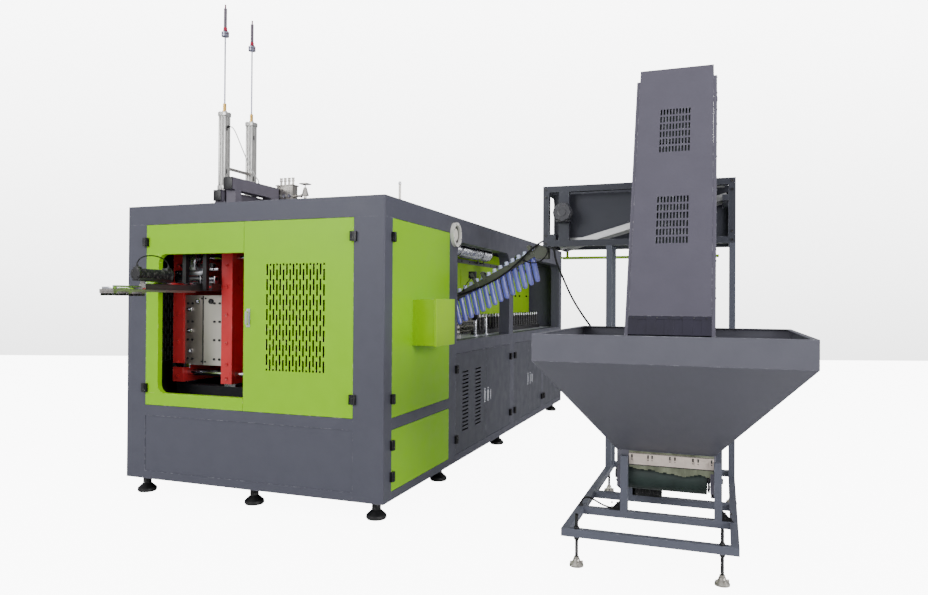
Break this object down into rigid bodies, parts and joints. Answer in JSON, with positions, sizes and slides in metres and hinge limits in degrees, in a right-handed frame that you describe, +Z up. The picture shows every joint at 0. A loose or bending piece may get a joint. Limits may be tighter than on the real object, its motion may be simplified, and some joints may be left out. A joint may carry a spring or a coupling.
{
  "type": "blow moulding machine",
  "caption": "Linear automatic stretch blow moulding machine with clamp cabinet, preform oven, feed rail, preform sorter and belt elevator hopper.",
  "frame": {"origin": "underside centre of the middle front levelling foot, on the floor", "axes": "+X to the right along the front towards the feeder, +Y back along the line, +Z up"},
  "size_m": [4.315, 5.69, 3.57],
  "materials": {
    "grey_paint": "satin",
    "green_paint": "satin",
    "band_paint": "satin",
    "tower_paint": "satin",
    "red_paint": "gloss",
    "black_steel": "satin",
    "black_feet": "matte",
    "table_steel": "brushed",
    "mould_steel": "ground",
    "bright_steel": "polished",
    "aluminium": "anodised",
    "rubber": "matte",
    "belt": "matte",
    "preform": "clear tint",
    "cable": "satin",
    "white_hose": "gloss",
    "rail_paint": "satin",
    "oven_white": "satin"
  },
  "bodies": {
    "frame": {"cabinet_frame": "grey_paint", "oven_frame": "grey_paint", "roof_panels": "grey_paint", "casing_panels": "grey_paint", "table_plate": "table_steel", "levelling_feet": "black_feet", "hinge_leaves": "black_steel", "fixed_platens": "red_paint", "tie_bars": "bright_steel", "clamp_base": "black_steel", "mould_left": "mould_steel", "stretch_cylinders": "aluminium", "roof_beams": "band_paint", "roof_fittings": "aluminium", "takeout_slide": "bright_steel", "oven_casing": "green_paint", "lamp_bank": "oven_white", "spindle_chain": "black_steel", "air_ducts": "aluminium", "blower": "black_steel", "feed_rail": "rail_paint", "preforms": "preform", "sorter_frame": "band_paint", "sorter_motor": "black_steel", "base_frame": "band_paint", "base_feet": "bright_steel", "hopper_bin": "band_paint", "tower_plates": "tower_paint", "tower_cover": "tower_paint", "tower_curtain": "rubber", "elevator_belt": "belt", "main_cable": "cable", "loop_cable": "cable", "sensor_cable": "cable", "sorter_cable": "cable", "base_cable": "cable", "air_hose": "white_hose"},
    "left_front_door": {"front_left_door": "green_paint"},
    "right_front_door": {"front_right_door": "green_paint"},
    "upper_side_door": {"side_upper_door": "green_paint", "control_box": "green_paint"},
    "lower_side_door": {"side_lower_door": "green_paint"},
    "base_door_1": {"oven_door_1": "grey_paint"},
    "base_door_2": {"oven_door_2": "grey_paint"},
    "base_door_3": {"oven_door_3": "grey_paint"},
    "base_door_4": {"oven_door_4": "grey_paint"},
    "base_door_5": {"oven_door_5": "grey_paint"},
    "base_door_6": {"oven_door_6": "grey_paint"},
    "clamp_carriage": {"moving_platen": "red_paint", "mould_right": "mould_steel", "clamp_ram": "bright_steel"},
    "stretch_one": {"stretch_rod_1": "bright_steel"},
    "stretch_two": {"stretch_rod_2": "bright_steel"},
    "takeout": {"takeout_arm": "bright_steel", "takeout_actuator": "black_steel", "actuator_hose": "cable"},
    "roller_one": {"sorter_roller_1": "bright_steel"},
    "roller_two": {"sorter_roller_2": "bright_steel"},
    "head_pulley": {"head_drum": "bright_steel"},
    "tail_pulley": {"tail_drum": "bright_steel"}
  },
  "joints": [
    {"name": "left_front_hinge", "type": "hinge", "parent": "frame", "child": "left_front_door", "pos_m": [-0.835, -0.118, 1.249], "axis": [0, 0, -1], "range_deg": [0, 110]},
    {"name": "right_front_hinge", "type": "hinge", "parent": "frame", "child": "right_front_door", "pos_m": [0.788, -0.118, 1.249], "axis": [0, 0, 1], "range_deg": [0, 110]},
    {"name": "upper_side_hinge", "type": "hinge", "parent": "frame", "child": "upper_side_door", "pos_m": [1.018, 0.01, 1.249], "axis": [0, 0, -1], "range_deg": [0, 110]},
    {"name": "lower_side_hinge", "type": "hinge", "parent": "frame", "child": "lower_side_door", "pos_m": [1.018, 0.01, 0.362], "axis": [0, 0, -1], "range_deg": [0, 110]},
    {"name": "base_door_hinge_1", "type": "hinge", "parent": "frame", "child": "base_door_1", "pos_m": [1.018, 1.143, 0.562], "axis": [0, 0, -1], "range_deg": [0, 110]},
    {"name": "base_door_hinge_2", "type": "hinge", "parent": "frame", "child": "base_door_2", "pos_m": [1.018, 2.627, 0.562], "axis": [0, 0, 1], "range_deg": [0, 90]},
    {"name": "base_door_hinge_3", "type": "hinge", "parent": "frame", "child": "base_door_3", "pos_m": [1.018, 2.778, 0.562], "axis": [0, 0, -1], "range_deg": [0, 90]},
    {"name": "base_door_hinge_4", "type": "hinge", "parent": "frame", "child": "base_door_4", "pos_m": [1.018, 3.903, 0.562], "axis": [0, 0, 1], "range_deg": [0, 90]},
    {"name": "base_door_hinge_5", "type": "hinge", "parent": "frame", "child": "base_door_5", "pos_m": [1.018, 3.99, 0.562], "axis": [0, 0, -1], "range_deg": [0, 90]},
    {"name": "base_door_hinge_6", "type": "hinge", "parent": "frame", "child": "base_door_6", "pos_m": [1.018, 4.88, 0.562], "axis": [0, 0, 1], "range_deg": [0, 110]},
    {"name": "clamp_slide", "type": "slide", "parent": "frame", "child": "clamp_carriage", "axis": [1, 0, 0], "range_m": [0, 0.105]},
    {"name": "stretch_slide_1", "type": "slide", "parent": "frame", "child": "stretch_one", "axis": [0, 0, -1], "range_m": [0, 0.48]},
    {"name": "stretch_slide_2", "type": "slide", "parent": "frame", "child": "stretch_two", "axis": [0, 0, -1], "range_m": [0, 0.48]},
    {"name": "takeout_slide", "type": "slide", "parent": "frame", "child": "takeout", "axis": [0, 1, 0], "range_m": [0, 0.45]},
    {"name": "roller_spin_1", "type": "hinge", "parent": "frame", "child": "roller_one", "pos_m": [1.78, 1.252, 1.806], "axis": [0.9613, 0, 0.2756], "continuous": true},
    {"name": "roller_spin_2", "type": "hinge", "parent": "frame", "child": "roller_two", "pos_m": [1.78, 1.348, 1.806], "axis": [0.9613, 0, 0.2756], "continuous": true},
    {"name": "head_drum_spin", "type": "hinge", "parent": "frame", "child": "head_pulley", "pos_m": [2.632, 1.04205, 2.71923], "axis": [1, 0, 0], "continuous": true},
    {"name": "tail_drum_spin", "type": "hinge", "parent": "frame", "child": "tail_pulley", "pos_m": [2.632, 0.187, 0.37], "axis": [1, 0, 0], "continuous": true}
  ],
  "couplings": [
    {"joint": "roller_spin_2", "follows": "roller_spin_1", "ratio": -1},
    {"joint": "tail_drum_spin", "follows": "head_drum_spin", "ratio": 1}
  ]
}
